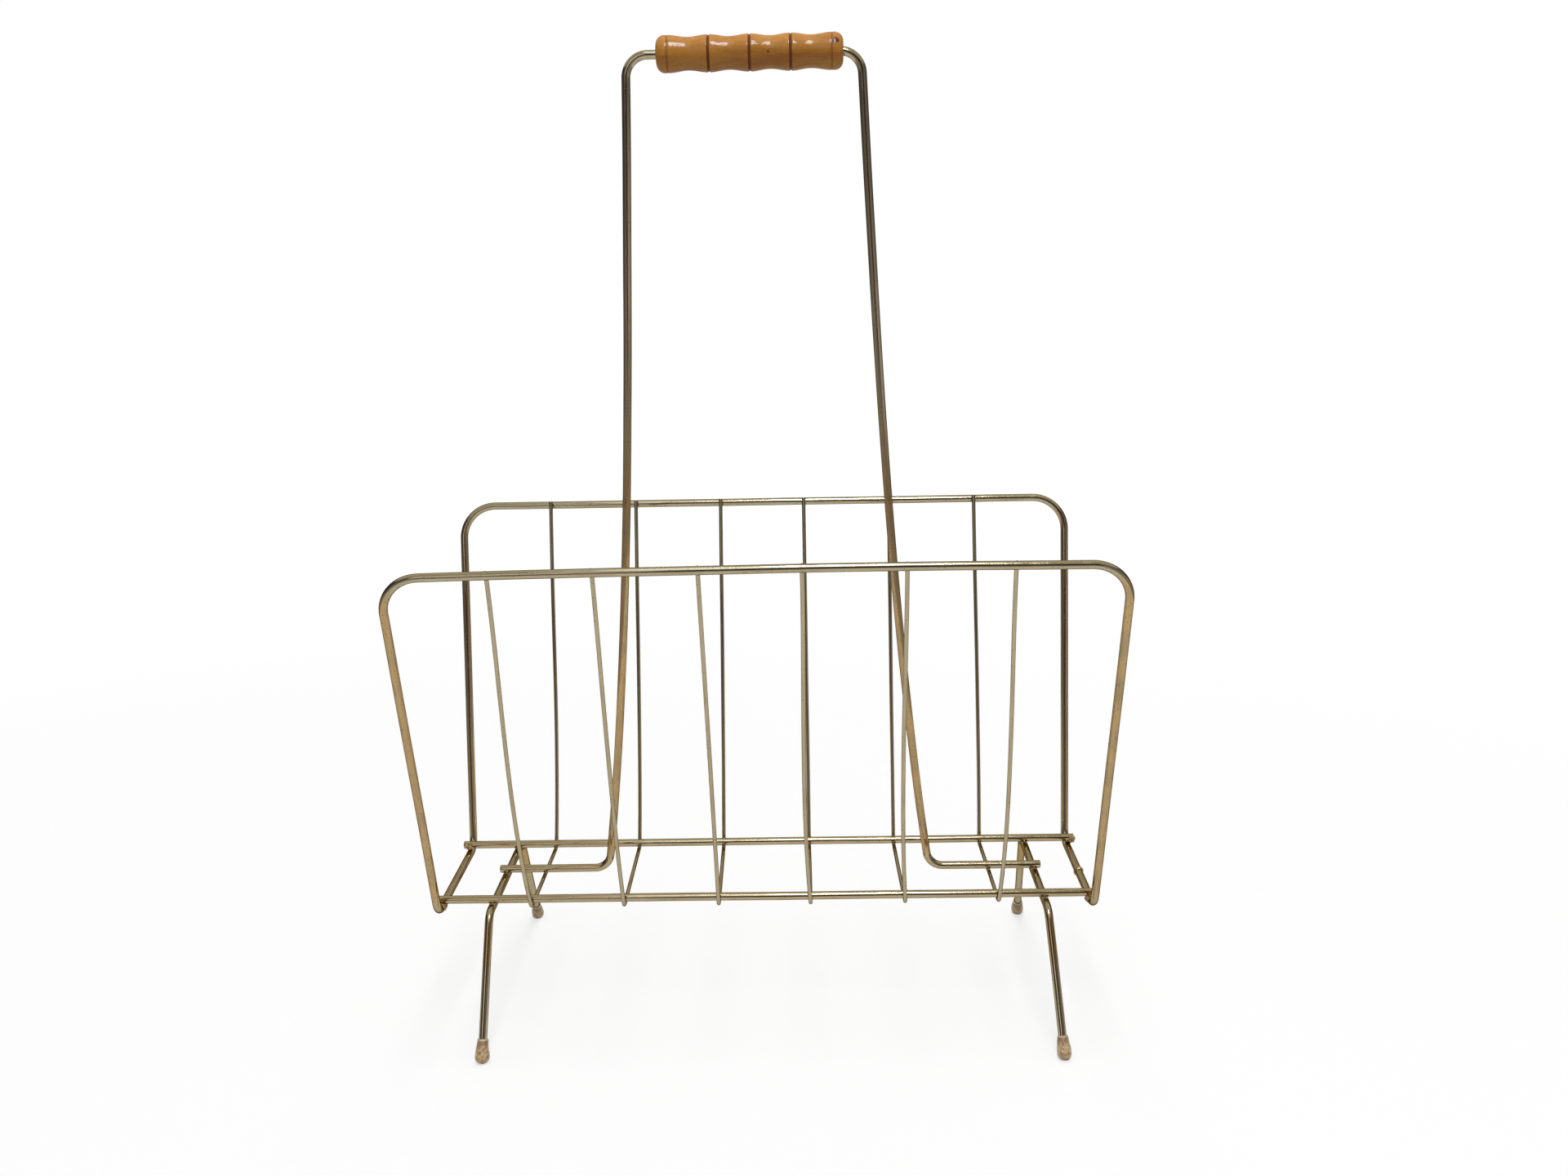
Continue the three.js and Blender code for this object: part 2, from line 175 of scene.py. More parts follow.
class RackColours(bpy.types.PropertyGroup):
    """Colours of the finishes"""

    gold: paint("Plating", "Brass plating where it is clean", (0.45, 0.305, 0.14))
    olive: paint("Dull plating", "Brass plating where it has dulled", (0.36, 0.262, 0.138))
    pewter: paint("Worn plating", "Plating worn grey, most of all towards the top", (0.415, 0.357, 0.232))
    speck: paint("Specks", "Brown specks where the plating is pitted", (0.1, 0.06, 0.03))
    burnt: paint("Burnt plating", "Plating burnt by the heat of a weld", (0.16, 0.085, 0.035))
    steel: paint("Cut steel", "Bare steel of a cut end", (0.3, 0.27, 0.23))
    wood: paint("Wood", "Lacquered wood of the grip", (0.6, 0.265, 0.044))
    wood_dark: paint("Dark grain", "Dark grain of the grip's wood", (0.42, 0.15, 0.026))
    fleck: paint("Flecks", "Two old flecks of dark red paint on the grip", (0.13, 0.02, 0.02))
    groove: paint("Grooves", "Stain in the grooves of the grip", (0.19, 0.062, 0.018))
    cream: paint("Cap", "Aged plastic of the foot caps", (0.7, 0.5, 0.27))
    yellowed: paint("Yellowed cap", "Plastic of the foot caps where it has yellowed", (0.6, 0.43, 0.17))
    lip: paint("Cap lip", "Pale lip round the top of a foot cap", (0.68, 0.57, 0.38))
    stain: paint("Cap stain", "Brown stain under the lip of a foot cap", (0.28, 0.16, 0.07))
    # Also used as painted shade along the very bottom of each foot cap, where it meets the floor
    dirt_and_contact_shade: paint("Dirt", "Dirt on the foot caps", (0.17, 0.1, 0.05))


def sizes():
    return bpy.context.scene.rack_sizes


def colour(name):
    return (*getattr(bpy.context.scene.rack_colours, name), 1)


# Paths: a wire is a list of corners, each a point with the radius of the bend there
ARC_STEP = math.radians(5)
STATION_SPACING = 4 * MM
WANDER_WAVE = 70 * MM
CUT_STEPS = 3

# Seeds: the first sets Blender's vector noise, and the others make each wire and bead differ
NOISE_SEED = 7
LOOP_SEED, RAIL_SEED, RIB_SEED, LEG_SEED, HANDLE_SEED, BEAD_SEED = 1, 2, 4, 20, 30, 50


def rounded(corners):
    """The points of a path with an arc at each corner that has a bend radius"""
    points = []
    for i, (at, bend) in enumerate(corners):
        if bend == 0:
            points.append(at.copy())
            continue
        into = (at - corners[i - 1][0]).normalized()
        out = (corners[i + 1][0] - at).normalized()
        turn = into.angle(out)
        inward = (out - into * out.dot(into)).normalized()
        centre = at - into * bend * math.tan(turn / 2) + inward * bend
        steps = math.ceil(turn / ARC_STEP)
        for k in range(steps + 1):
            angle = turn * k / steps
            points.append(centre - inward * bend * math.cos(angle) + into * bend * math.sin(angle))
    return points


def spaced(points):
    """The same path with stations close enough together for fine detail"""
    stations = [points[0]]
    for start, end in zip(points, points[1:]):
        steps = max(1, math.ceil((end - start).length / STATION_SPACING))
        stations += [start.lerp(end, k / steps) for k in range(1, steps + 1)]
    return stations


def strayed(points, seed):
    """The path with the slight unevenness of a wire that was bent by hand"""
    offset = Vector((seed, seed * math.sqrt(2), seed * math.sqrt(3)))
    return [p + noise.noise_vector(p / WANDER_WAVE + offset) * sizes().wander for p in points]


def cut_ends(points, radius):
    """Stations and radii of a wire whose cut ends have a slightly rounded edge"""
    edge = sizes().cut_edge
    turns = [math.pi / 2 * k / CUT_STEPS for k in range(CUT_STEPS + 1)]
    rim = [(edge * (1 - math.cos(t)), radius - edge * (1 - math.sin(t))) for t in turns]
    start = (points[1] - points[0]).normalized()
    end = (points[-2] - points[-1]).normalized()
    head = [(points[0] + start * depth, r) for depth, r in rim]
    tail = [(points[-1] + end * depth, r) for depth, r in reversed(rim)]
    return head + [(p, radius) for p in points[1:-1]] + tail


def tangents_along(points):
    before = [points[0], *points[:-1]]
    after = [*points[1:], points[-1]]
    return [(a - b).normalized() for a, b in zip(after, before)]


def new_mesh(name, vertices, faces):
    mesh = bpy.data.meshes.new(name)
    mesh.from_pydata(vertices, [], faces)
    return mesh


def new_object(name, data):
    item = bpy.data.objects.new(name, data)
    bpy.context.scene.collection.objects.link(item)
    return item


def sweep(name, stations, sides):
    """A mesh of a round wire: a ring of points at each station and a flat face at both ends"""
    points = [at for at, _ in stations]
    tangents = tangents_along(points)
    normal = tangents[0].orthogonal().normalized()
    vertices = []
    for i, (at, radius) in enumerate(stations):
        if i:
            normal.rotate(tangents[i - 1].rotation_difference(tangents[i]))
        across = tangents[i].cross(normal)
        for k in range(sides):
            angle = 2 * math.pi * k / sides
            vertices.append(at + (normal * math.cos(angle) + across * math.sin(angle)) * radius)
    faces = []
    for ring in range(len(stations) - 1):
        here = ring * sides
        for k in range(sides):
            after = (k + 1) % sides
            faces.append((here + k, here + after, here + sides + after, here + sides + k))
    last = (len(stations) - 1) * sides
    faces.append(tuple(reversed(range(sides))))
    faces.append(tuple(range(last, last + sides)))
    return new_mesh(name, vertices, faces)


def turned(name, profile, sides):
    """A closed mesh turned round the Z axis from a closed profile of (place along the axis, radius)"""
    count = len(profile)
    vertices = []
    for k in range(sides):
        angle = 2 * math.pi * k / sides
        vertices += [(r * math.cos(angle), r * math.sin(angle), along) for along, r in profile]
    faces = []
    for k in range(sides):
        here = k * count
        there = (k + 1) % sides * count
        for i in range(count):
            after = (i + 1) % count
            faces.append((here + i, there + i, there + after, here + after))
    return new_mesh(name, vertices, faces)


SHARP_ANGLE = math.radians(50)


def put(mesh, materials, node, body):
    """Places a finished mesh in the scene as the piece that stands for a node of the frame"""
    mesh.validate()
    shape = bmesh.new()
    shape.from_mesh(mesh)
    bmesh.ops.recalc_face_normals(shape, faces=shape.faces)
    shape.to_mesh(mesh)
    shape.free()
    mesh.shade_smooth()
    mesh.set_sharp_from_angle(angle=SHARP_ANGLE)
    for material in materials:
        mesh.materials.append(material)
    piece = new_object(mesh.name, mesh)
    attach(piece, body)
    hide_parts(node)
    return piece


# Welds: where two wires cross, the upper one runs along and the lower one across
Seat = namedtuple("Seat", "node at along across up upper lower")


def rib_wall(side):
    """A wall's direction up a rib, the direction from rib to hoop, how far apart they lie, and the corner"""
    offset = WIRE_RADIUS + sizes().rib_radius + sizes().contact_gap
    reach = Vector((HOOP_Y - RAIL_Y, HOOP_HEIGHT - REST_HEIGHT))
    angle = math.atan2(reach.y, reach.x) + math.asin(2 * offset / reach.length)
    along = Vector((0, side * math.cos(angle), math.sin(angle)))
    to_hoop = Vector((0, side * math.sin(angle), -math.cos(angle)))
    corner_y = RAIL_Y + offset * math.tan(angle / 2)
    return along, to_hoop, offset, corner_y


def hoop_shift(x, side):
    """How far the bent top wire of the front hoop is moved along its wall"""
    if side > 0:
        return Vector()
    bow = sizes().hoop_bow * (1 - (x / HOOP_X) ** 2)
    droop = sizes().hoop_droop * ((1 - x / HOOP_X) / 2) ** 2
    along, _, _, _ = rib_wall(side)
    return along * (bow - droop)


def rib_top(rib, wall):
    """The middle of the hoop's wire where a rib is welded to it"""
    x = middle(f"weld_{rib}_{wall}_hoop", X)
    return Vector((x, WALLS[wall] * HOOP_Y, HOOP_HEIGHT)) + hoop_shift(x, WALLS[wall])


def level_seat(node, at, lower):
    """The seat of a weld between a thick wire that lies left to right and one below it"""
    return Seat(node, at, RIGHT, REAR, UP, WIRE_RADIUS, lower)


def weld_seats():
    half_gap = sizes().contact_gap / 2
    seam = BAR_HEIGHT + WIRE_RADIUS + half_gap
    rib_seam = REST_HEIGHT - WIRE_RADIUS - half_gap
    thin = sizes().rib_radius
    seats = []
    for wall, side in WALLS.items():
        for hand, toward in HANDS.items():
            bar = Vector((toward * BAR_X, side * RAIL_Y, seam))
            run = Vector((LEG_X[hand], side * RAIL_Y, seam))
            seats.append(level_seat(f"weld_{wall}_rail_{hand}_bar", bar, WIRE_RADIUS))
            seats.append(level_seat(f"weld_{wall}_rail_{hand}_leg", run, WIRE_RADIUS))
        along, to_hoop, _, _ = rib_wall(side)
        for rib in RIBS:
            bead = f"weld_{rib}_{wall}_rail"
            seats.append(level_seat(bead, Vector((middle(bead, X), side * RAIL_Y, rib_seam)), thin))
            at = rib_top(rib, wall) - to_hoop * (WIRE_RADIUS + half_gap)
            seats.append(Seat(f"weld_{rib}_{wall}_hoop", at, RIGHT, along, to_hoop, WIRE_RADIUS, thin))
    for hand in HANDS:
        run = Vector((LEG_X[hand], SET_BACK[hand], seam))
        seats.append(level_seat(f"weld_handle_{hand}_leg", run, WIRE_RADIUS))
    for rib in (RIBS[0], RIBS[-1]):
        bead = f"weld_handle_{rib}"
        seats.append(level_seat(bead, Vector((middle(bead, X), middle(bead, Y), rib_seam)), thin))
    return seats


def eased(value, start, end):
    """0 up to the start, 1 from the end on, and a smooth rise between them"""
    share = min(max(0, (value - start) / (end - start)), 1)
    return share**2 * (3 - 2 * share)


# Marks: values stored at each point of a mesh, which its material reads
def mark(mesh, name, measure):
    """Stores what a function makes of each point's place"""
    attribute = mesh.attributes.new(name, "FLOAT", "POINT")
    for vertex, value in zip(mesh.vertices, attribute.data):
        value.value = measure(vertex.co)


def mark_heat(mesh):
    """Stores how strongly the welds have heated each point of a wire"""
    places = np.array([seat.at for seat in weld_seats()] + [Vector((BAR_X, 0, BAR_HEIGHT))])
    points = np.zeros(len(mesh.vertices) * 3)
    mesh.vertices.foreach_get("co", points)
    away = np.linalg.norm(points.reshape(-1, 1, 3) - places, axis=2).min(axis=1)
    beyond = np.maximum(away - WIRE_RADIUS / 2, 0)
    heat = np.exp(-((beyond / sizes().heat_reach) ** 2))
    attribute = mesh.attributes.new("heat", "FLOAT", "POINT")
    attribute.data.foreach_set("value", heat.astype(np.float32))


def mark_grain(mesh, stations, sides):
    """Stores each point's place in the drawn grain of a wire, which is stretched along it"""
    stretch_share = 0.04
    places = []
    along = 0.0
    before = stations[0][0]
    for at, radius in stations:
        along += (at - before).length * stretch_share
        before = at
        for k in range(sides):
            angle = 2 * math.pi * k / sides
            places += [along, radius * math.cos(angle), radius * math.sin(angle)]
    mesh.attributes.new("grain", "FLOAT_VECTOR", "POINT").data.foreach_set("vector", places)


def put_wire(node, corners, seed, wear, radius=None, sides=None):
    """A plated wire along a path, with cut ends of bare steel. It is a thick one unless told otherwise."""
    radius = radius or WIRE_RADIUS
    sides = sides or sizes().main_sides
    stations = cut_ends(strayed(spaced(rounded(corners)), seed), radius)
    mesh = sweep("plated_" + node, stations, sides)
    for face in mesh.polygons[-2:]:
        face.material_index = 1
    mark_heat(mesh)
    mark(mesh, "wear", wear)
    mark_grain(mesh, stations, sides)
    return put(mesh, [plating(), cut_steel()], node, "rack")


# How grey the plating is: where it is worn least, on the loop's rear legs, and on bars, rails and ribs
LOW_WEAR = 0.12
REAR_WEAR = 0.5
BAR_WEAR = 0.7
RAIL_WEAR = 0.6
RIB_WEAR = {"front": 0.8, "rear": 1.3}

# How far up from a bar or rail its grey reaches, and how far down from a leg frame's level run
FOOT_FADE = 20 * MM
RUN_FADE = 3 * MM

# How far below a hoop's top wire the grey begins, and where it is full
HOOP_FADE = (14 * MM, 2 * MM)


# The pieces
def build_basket_loop():
    bend, corner = sizes().loop_bend, sizes().hoop_bend
    along = math.atan2(HOOP_HEIGHT - BAR_HEIGHT, HOOP_Y - RAIL_Y)
    tries = 4
    for _ in range(tries):
        bottom_y = RAIL_Y + bend * math.tan(along / 2)
        along = math.atan2(HOOP_HEIGHT - BAR_HEIGHT, HOOP_Y - bottom_y)
    front, rear = [
        [
            (Vector((BAR_X, side * sizes().contact_gap / 2, BAR_HEIGHT)), 0),
            (Vector((BAR_X, side * bottom_y, BAR_HEIGHT)), bend),
            (Vector((HOOP_X, side * HOOP_Y, HOOP_HEIGHT)), corner),
            (Vector((-HOOP_X, side * HOOP_Y, HOOP_HEIGHT)), corner),
            (Vector((-BAR_X, side * bottom_y, BAR_HEIGHT)), bend),
        ]
        for side in WALLS.values()
    ]
    grey_from, grey_to = (HOOP_HEIGHT - fade for fade in HOOP_FADE)

    def wear(at):
        least = LOW_WEAR if at.y < 0 else REAR_WEAR
        bar = BAR_WEAR * (1 - eased(at.z, BAR_HEIGHT, BAR_HEIGHT + FOOT_FADE))
        return max(least, bar, eased(at.z, grey_from, grey_to))

    loop = put_wire("basket_loop", [*rear, *reversed(front)], LOOP_SEED, wear)
    for vertex in loop.data.vertices:
        if vertex.co.y < 0:
            share = eased(vertex.co.z, BAR_HEIGHT, HOOP_HEIGHT - corner)
            vertex.co += hoop_shift(vertex.co.x, WALLS["front"]) * share


def build_rails():
    for seed, (wall, side) in enumerate(WALLS.items(), start=RAIL_SEED):
        ends = [(Vector((x, side * RAIL_Y, REST_HEIGHT)), 0) for x in (-RAIL_REACH, RAIL_REACH)]
        put_wire(wall + "_rail", ends, seed, lambda at: RAIL_WEAR)


def low_bump(share):
    """A bump over the height of a wall that is 0 at both ends and 1 at a third of the way up"""
    return 27 / 4 * share * (1 - share) ** 2


def rib_half(rib, wall, bow):
    """A rib's corners from the floor of the basket up one wall"""
    steps = 24
    side = WALLS[wall]
    along, to_hoop, offset, corner_y = rib_wall(side)
    corner = Vector((middle(f"weld_{rib}_{wall}_rail", X), side * corner_y, REST_HEIGHT - offset))
    top = rib_top(rib, wall) - to_hoop * offset
    half = [(corner, offset)]
    for k in range(1, steps + 1):
        share = k / steps
        half.append((corner.lerp(top, share) + RIGHT * bow * low_bump(share), 0))
    tip = sizes().front_rib_tip if wall == "front" else sizes().rear_rib_tip
    return [*half, (top + along * tip, 0)]


def build_ribs():
    bay = 2 * BAR_X / (RIB_COUNT + 1)

    def wear(at):
        return RIB_WEAR["rear" if at.y > 0 else "front"]

    for i, rib in enumerate(RIBS):
        front, rear = [rib_half(rib, wall, BOW_SHARES[wall][i] * bay) for wall in WALLS]
        corners = [*reversed(rear), *front]
        put_wire(rib, corners, RIB_SEED + i, wear, sizes().rib_radius, sizes().rib_sides)


def leg_axis(hand, wall):
    """The corner of a leg frame, the foot on the floor below it, and the direction from foot to corner"""
    corner_y = WALLS[wall] * (RAIL_Y + sizes().leg_overhang) + SET_BACK[hand]
    corner = Vector((LEG_X[hand], corner_y, BAR_HEIGHT))
    foot = FEET[f"{wall}_{hand}_foot"]
    return corner, foot, (corner - foot).normalized()


def cap_middle(hand, wall):
    _, foot, up = leg_axis(hand, wall)
    return foot + up * (sizes().cap_rest / up.z)


def build_leg_frames():
    grey_to, grey_from = BAR_HEIGHT / 2, BAR_HEIGHT * 3 / 4

    def wear(at):
        foot = 1 - eased(at.z, grey_to, grey_from)
        run = BAR_WEAR * eased(at.z, BAR_HEIGHT - RUN_FADE, BAR_HEIGHT)
        return max(LOW_WEAR, foot, run)

    for seed, hand in enumerate(HANDS, start=LEG_SEED):
        halves = []
        for wall in WALLS:
            corner, _, up = leg_axis(hand, wall)
            end = cap_middle(hand, wall) + up * sizes().contact_gap
            halves.append([(end, 0), (corner, sizes().leg_bend)])
        front, rear = halves
        put_wire(hand + "_leg_frame", [*front, *reversed(rear)], seed, wear)


def handle_leg(side, hand, share):
    """A point of the handle's leg, a share of the way from the bar down to the foot"""
    flare = (sizes().handle_base - sizes().handle_top) / 2 - sizes().handle_bow
    half = sizes().handle_top / 2 + flare * share + sizes().handle_bow * share**3
    shift = sizes().handle_top_shift * (1 - share) + sizes().handle_base_shift * share
    height = HANDLE_HEIGHT * (1 - share) + REST_HEIGHT * share
    return Vector((shift + side * half, SET_BACK[hand] * share, height))


def build_handle():
    # The first and last points of a leg are left out, so that its bends have room
    steps, left_out = 40, 2
    halves = []
    for hand, side in HANDS.items():
        half = [(handle_leg(side, hand, 0), sizes().handle_bend)]
        half += [(handle_leg(side, hand, k / steps), 0) for k in range(left_out, steps - left_out + 1)]
        half.append((handle_leg(side, hand, 1), sizes().handle_foot_bend))
        half.append((Vector((HANDLE_ENDS[hand], SET_BACK[hand], REST_HEIGHT)), 0))
        halves.append(half)
    left, right = halves
    grey_from, grey_to = HANDLE_HEIGHT / 2, HANDLE_HEIGHT * 3 / 4

    def wear(at):
        foot = RAIL_WEAR * (1 - eased(at.z, REST_HEIGHT, REST_HEIGHT + FOOT_FADE))
        return max(foot, eased(at.z, grey_from, grey_to))

    put_wire("handle_wire", [*reversed(left), *right], HANDLE_SEED, wear)


BAYS = 4
BAY_STEPS = 16
ROUND_STEPS = 10
GROOVE_STEPS = 6
END_RING_SHARE = 0.25


def grip_rings():
    """Where the grip's grooves lie along it, measured from its middle, and how deep each is as a share"""
    first = sizes().grip_end_ring - GRIP_LENGTH / 2
    bay = (GRIP_LENGTH - 2 * sizes().grip_end_ring) / BAYS
    return [(first + i * bay, END_RING_SHARE if i in (0, BAYS) else 1) for i in range(BAYS + 1)]


def grip_profile():
    """The grip's closed profile from end to end round the outside and back through the bore"""
    half = GRIP_LENGTH / 2
    s = sizes()
    round_end = []
    for k in range(ROUND_STEPS + 1):
        turn = math.pi / 2 * k / ROUND_STEPS
        radius = s.grip_swell - s.grip_end_round * (1 - math.sin(turn))
        round_end.append((s.grip_end_round * (1 - math.cos(turn)) - half, radius))
    body = []
    rings = grip_rings()
    bay = rings[1][0] - rings[0][0]
    for i, (ring, depth_share) in enumerate(rings):
        for k in range(GROOVE_STEPS + 1):
            share = k / GROOVE_STEPS
            drop = s.groove_depth * depth_share * math.sin(math.pi * share) ** 2
            body.append((ring + s.groove_width * (share - 1 / 2), s.grip_swell - drop))
        if i < BAYS:
            for k in range(1, BAY_STEPS):
                share = k / BAY_STEPS
                drawn = (1 - math.cos(2 * math.pi * share)) / 2
                radius = s.grip_swell + (s.grip_waist - s.grip_swell) * drawn
                body.append((ring + share * bay, radius))
    outside = round_end + body + [(-along, radius) for along, radius in reversed(round_end)]
    return outside + [(half, s.grip_bore), (-half, s.grip_bore)]


def build_grip():
    mesh = turned("turned_handle_grip", grip_profile(), sizes().grip_sides)
    place = Matrix.Translation((GRIP_MIDDLE, 0, HANDLE_HEIGHT))
    mesh.transform(place @ Matrix.Rotation(math.pi / 2, 4, "Y"))
    rings = grip_rings()
    reach = sizes().groove_width / 2

    def depth(at):
        return max(share * max(0, 1 - abs(at.x - GRIP_MIDDLE - ring) / reach) for ring, share in rings)

    mark(mesh, "groove", depth)
    put(mesh, [lacquered_wood()], "handle_grip", "grip")


def cap_profile():
    """A foot cap's closed profile, from the axis under the bulge up to the rim and down into the bore"""
    s = sizes()
    bore = WIRE_RADIUS + s.contact_gap
    steps = 10
    profile = []
    for k in range(steps + 1):
        turn = math.pi / 2 * k / steps
        profile.append((-s.cap_bulge * math.cos(turn), s.cap_bulge * math.sin(turn)))
    for k in range(1, steps + 1):
        share = k / steps
        curved = (1 - math.cos(math.pi * share)) / 2
        radius = s.cap_bulge + (s.cap_rim - s.cap_bulge) * (share + curved) / 2
        profile.append((s.cap_height * share, radius))
    return profile + [(s.cap_height, bore), (0, bore), (0, 0)]


def dent_and_stand(mesh):
    """Dents a foot cap and cuts it off flat where it stands on the floor"""
    dent = 0.3 * MM
    wave = 4 * MM
    same_place = MM / 1000
    shape = bmesh.new()
    shape.from_mesh(mesh)
    bmesh.ops.remove_doubles(shape, verts=shape.verts, dist=same_place)
    for vertex in shape.verts:
        vertex.co += noise.noise_vector(vertex.co / wave) * dent
    everything = shape.verts[:] + shape.edges[:] + shape.faces[:]
    cut = bmesh.ops.bisect_plane(shape, geom=everything, plane_no=UP, clear_inner=True)
    rim = [item for item in cut["geom_cut"] if isinstance(item, bmesh.types.BMEdge)]
    bmesh.ops.contextual_create(shape, geom=rim)
    shape.to_mesh(mesh)
    shape.free()


def build_foot_caps():
    for wall in WALLS:
        for hand in HANDS:
            node = f"{wall}_{hand}_foot_cap"
            _, _, up = leg_axis(hand, wall)
            mesh = turned("moulded_" + node, cap_profile(), sizes().cap_sides)
            mark(mesh, "rise", lambda at: at.z / sizes().cap_height)
            lean = UP.rotation_difference(up).to_matrix().to_4x4()
            mesh.transform(Matrix.Translation(cap_middle(hand, wall)) @ lean)
            dent_and_stand(mesh)
            put(mesh, [aged_plastic()], node, "rack")


# Where the flash has run to at the rails' ends, from the middle of each crossing
FLASH_RUNS = {
    "weld_front_rail_left_bar": Vector((0.7, -1, -1.1)) * MM,
    "weld_front_rail_right_bar": Vector((-1.1, -1.2, -0.7)) * MM,
    "weld_rear_rail_left_bar": Vector((-0.3, -1, 2)) * MM,
    "weld_rear_rail_right_bar": Vector((2.1, -0.7, 1.8)) * MM,
}


def bead_mesh(seat, seed):
    """A lumpy bead of weld metal in the crotch of two crossed wires"""
    bead = bmesh.new()
    bmesh.ops.create_icosphere(bead, subdivisions=4, radius=1)
    reach = Vector((seat.lower, seat.upper, min(seat.lower, seat.upper) + sizes().contact_gap / 2))
    if seat.node.endswith("bar"):
        reach += Vector((sizes().bead_reach, sizes().bead_reach, 0))
    else:
        reach *= sizes().bead_share
    basis = Matrix((seat.along, seat.across, seat.up)).transposed()
    lump_wave = 1.3 * MM
    calm_share, rough_share = 0.16, 0.3
    lump_share = rough_share if seat.node in FLASH_RUNS else calm_share
    middle_at = seat.at + FLASH_RUNS.get(seat.node, Vector())
    offset = Vector((seed, seed / 2, -seed))
    for vertex in bead.verts:
        at = Vector(a * b for a, b in zip(vertex.co, reach))
        lump = noise.noise(at / lump_wave + offset) + noise.noise(at / lump_wave * 2 + offset) / 2
        vertex.co = middle_at + basis @ (at * (1 + lump_share * lump))
    mesh = bpy.data.meshes.new("bead_" + seat.node.removeprefix("weld_"))
    bead.to_mesh(mesh)
    bead.free()
    return mesh


def collar_mesh():
    """The flash round the butt weld of the basket loop, a lumpy ring"""
    reach = middle("weld_basket_loop", Y) + (high("weld_basket_loop", Y) - low("weld_basket_loop", Y)) / 2
    proud = (high("weld_basket_loop", Z) - low("weld_basket_loop", Z)) / 2
    edge_share, inner_share = 0.97, 0.9
    edge, inner = WIRE_RADIUS * edge_share, WIRE_RADIUS * inner_share
    steps = 14
    profile = []
    for k in range(steps + 1):
        share = k / steps
        swell = math.sin(math.pi * share)
        profile.append((reach * (2 * share - 1), edge + (proud - edge) * swell))
    profile += [(reach, inner), (-reach, inner)]
    mesh = turned("bead_basket_loop", profile, sizes().cap_sides)
    lump_wave = 1.6 * MM
    edge_wave = 2.2 * MM
    edge_stray = 0.5 * MM
    for vertex in mesh.vertices:
        radial = Vector((vertex.co.x, vertex.co.y, 0))
        lump = noise.noise(vertex.co / lump_wave)
        vertex.co += radial.normalized() * lump * sizes().collar_lump
        vertex.co.z += noise.noise(radial / edge_wave) * edge_stray
    mesh.transform(Matrix.Translation((BAR_X, 0, BAR_HEIGHT)) @ Matrix.Rotation(math.pi / 2, 4, "X"))
    return mesh


def build_welds():
    for seed, seat in enumerate(weld_seats(), start=BEAD_SEED):
        put(bead_mesh(seat, seed), [weld_metal()], seat.node, "rack")
    put(collar_mesh(), [weld_metal()], "weld_basket_loop", "rack")


# Shader nodes
def feed(tree, node, inputs):
    """Links or sets the inputs of a node"""
    for name, value in inputs.items():
        if isinstance(value, bpy.types.NodeSocket):
            tree.links.new(value, node.inputs[name])
        else:
            node.inputs[name].default_value = value


def add(tree, kind, inputs=None, **settings):
    """Adds a node with its settings and inputs"""
    node = tree.nodes.new(kind)
    for name, value in settings.items():
        setattr(node, name, value)
    feed(tree, node, inputs or {})
    return node


def maths(tree, operation, first, second):
    return add(tree, "ShaderNodeMath", {0: first, 1: second}, operation=operation).outputs[0]


def times(tree, value, factor):
    return maths(tree, "MULTIPLY", value, factor)


def raised(tree, value, other, share):
    """A value with a share of another one added to it"""
    return maths(tree, "ADD", value, times(tree, other, share))


def mixed(tree, factor, first, second):
    """A colour between two colours"""
    inputs = {"Factor": factor, 6: first, 7: second}
    return add(tree, "ShaderNodeMix", inputs, data_type="RGBA").outputs[2]


def layered(tree, base, layers):
    """A colour with others laid over it in turn, each given as its mask and its name"""
    for mask, name in layers:
        base = mixed(tree, mask, base, colour(name))
    return base


def ramp(tree, value, start, end, least=0.0, most=1.0):
    """A value taken smoothly from one range to another"""
    inputs = {"Value": value, "From Min": start, "From Max": end, "To Min": least, "To Max": most}
    return add(tree, "ShaderNodeMapRange", inputs, interpolation_type="SMOOTHSTEP").outputs["Result"]


def between(tree, share, first, second):
    """A value between two values, by a share of the way"""
    return ramp(tree, share, 0.0, 1.0, first, second)


def noise_node(tree, vector, scale, detail=3.0, roughness=0.55):
    inputs = {"Vector": vector, "Scale": scale, "Detail": detail, "Roughness": roughness}
    return add(tree, "ShaderNodeTexNoise", inputs).outputs["Fac"]


def object_place(tree):
    return add(tree, "ShaderNodeTexCoord").outputs["Object"]


def stored(tree, name, output="Fac"):
    """A value that the mesh stores at its points"""
    return add(tree, "ShaderNodeAttribute", attribute_name=name).outputs[output]


def new_group(name, inputs, outputs):
    """An empty node group that takes a place and numbers and puts out numbers"""
    group = bpy.data.node_groups.new(name, "ShaderNodeTree")
    group.interface.new_socket("Vector", in_out="INPUT", socket_type="NodeSocketVector")
    for label, default in inputs.items():
        socket = group.interface.new_socket(label, in_out="INPUT", socket_type="NodeSocketFloat")
        socket.default_value = default
    for label in outputs:
        group.interface.new_socket(label, in_out="OUTPUT", socket_type="NodeSocketFloat")
    return group, add(group, "NodeGroupInput").outputs, add(group, "NodeGroupOutput")


